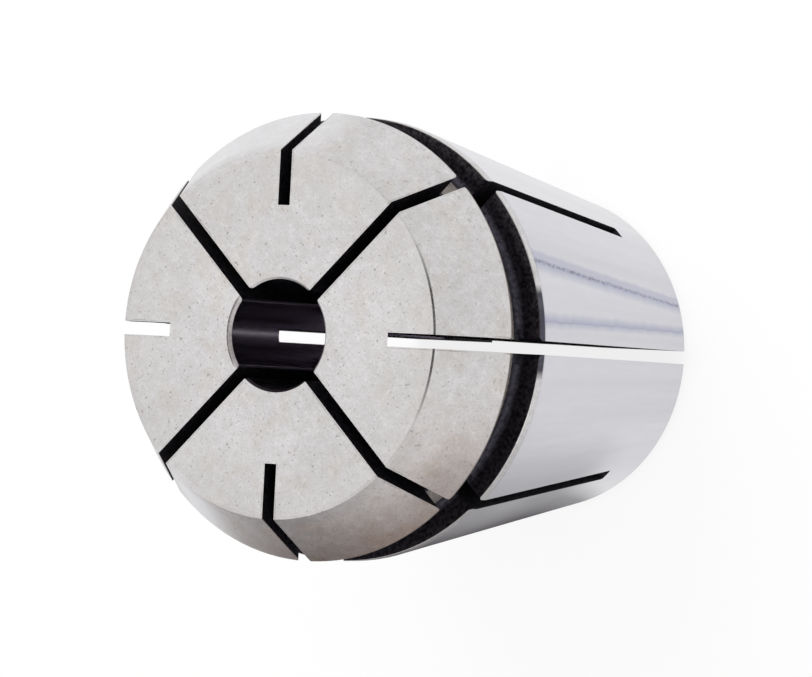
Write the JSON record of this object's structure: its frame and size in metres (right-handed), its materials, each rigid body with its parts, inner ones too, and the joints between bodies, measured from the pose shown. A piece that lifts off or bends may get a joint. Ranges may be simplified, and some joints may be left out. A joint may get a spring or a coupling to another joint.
{
  "type": "spring collet",
  "caption": "One-piece slotted spring collet, size 32, for a tap with an 8 mm shank and a 6.2 mm square.",
  "frame": {"origin": "centre of the small rear end face", "axes": "+Z along the collet's axis, from the small rear end to the front face that the nut pulls on; +X through the middle of one front slit"},
  "size_m": [0.033, 0.033, 0.04],
  "materials": {
    "spring_steel": "ground spring steel, satin on the cones and dark in the groove and slits"
  },
  "bodies": {
    "root": {"collet": "spring_steel"}
  },
  "joints": []
}
